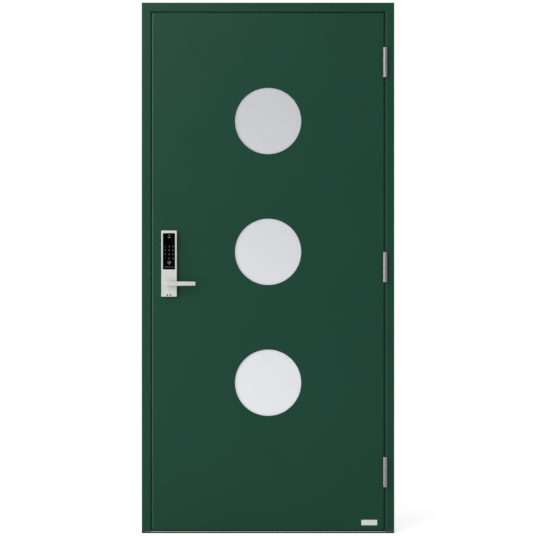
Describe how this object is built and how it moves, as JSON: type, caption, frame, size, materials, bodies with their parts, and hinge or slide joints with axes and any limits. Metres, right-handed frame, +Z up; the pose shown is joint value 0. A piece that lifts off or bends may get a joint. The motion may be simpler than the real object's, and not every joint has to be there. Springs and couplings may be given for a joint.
{
  "type": "front door in its frame",
  "caption": "Flush outward-opening entrance door with three round windows, keypad lock, lever handles and lift-off hinges, hung in its timber frame on a threshold.",
  "frame": {"origin": "on the underside of the threshold, at the middle of its width and depth", "axes": "+Z up, +X to the right seen from outside, -Y towards the outside"},
  "size_m": [0.99, 0.182, 2.08],
  "materials": {
    "painted_frame": "satin dark green paint",
    "painted_leaf": "satin dark green paint",
    "stile_wood": "planed softwood",
    "insulation": "rigid foam",
    "composite": "dark composite",
    "threshold_metal": "anodised",
    "seal_rubber": "matte",
    "satin_steel": "satin",
    "hinge_steel": "satin",
    "lock_steel": "plain",
    "window_glass": "satin inner pane",
    "spacer": "matte",
    "keypad_black": "gloss",
    "contact_dark": "darkened",
    "label_white": "blank"
  },
  "bodies": {
    "frame": {"hinge_jamb": "painted_frame", "lock_jamb": "painted_frame", "frame_head": "painted_frame", "threshold_base": "composite", "threshold_plate": "threshold_metal", "hinge_side_seal": "seal_rubber", "lock_side_seal": "seal_rubber", "head_seal": "seal_rubber", "threshold_seal": "seal_rubber", "strike_plate": "lock_steel", "top_hinge_frame_half": "hinge_steel", "middle_hinge_frame_half": "hinge_steel", "bottom_hinge_frame_half": "hinge_steel", "hinge_lower_caps": "hinge_steel"},
    "leaf": {"outer_panel": "painted_leaf", "inner_panel": "painted_leaf", "lock_stile": "stile_wood", "hinge_stile": "stile_wood", "top_rail": "stile_wood", "bottom_rail": "stile_wood", "leaf_core": "insulation", "top_window_panes": "window_glass", "middle_window_panes": "window_glass", "bottom_window_panes": "window_glass", "window_spacers": "spacer", "top_window_bead": "painted_leaf", "middle_window_bead": "painted_leaf", "bottom_window_bead": "painted_leaf", "outside_housing": "satin_steel", "keypad_glass": "keypad_black", "battery_contacts": "contact_dark", "inside_housing": "satin_steel", "thumbturn": "satin_steel", "lock_forend": "lock_steel", "lock_case": "lock_steel", "latch_bolt": "lock_steel", "dead_bolt": "lock_steel", "top_hinge_leaf_half": "hinge_steel", "middle_hinge_leaf_half": "hinge_steel", "bottom_hinge_leaf_half": "hinge_steel", "hinge_upper_caps": "hinge_steel", "label_plate": "label_white"},
    "handle": {"outside_lever": "satin_steel", "handle_spindle": "lock_steel", "inside_lever": "satin_steel"}
  },
  "joints": [
    {"name": "door_swing", "type": "hinge", "parent": "frame", "child": "leaf", "pos_m": [0.458, -0.062, 1.04], "axis": [0, 0, 1], "range_deg": [0, 110]},
    {"name": "lever_turn", "type": "hinge", "parent": "leaf", "child": "handle", "pos_m": [-0.387, -0.0215, 0.979], "axis": [0, 1, 0], "range_deg": [0, 45], "stiffness_Nm_per_rad": 1, "springref_deg": -28.65}
  ]
}
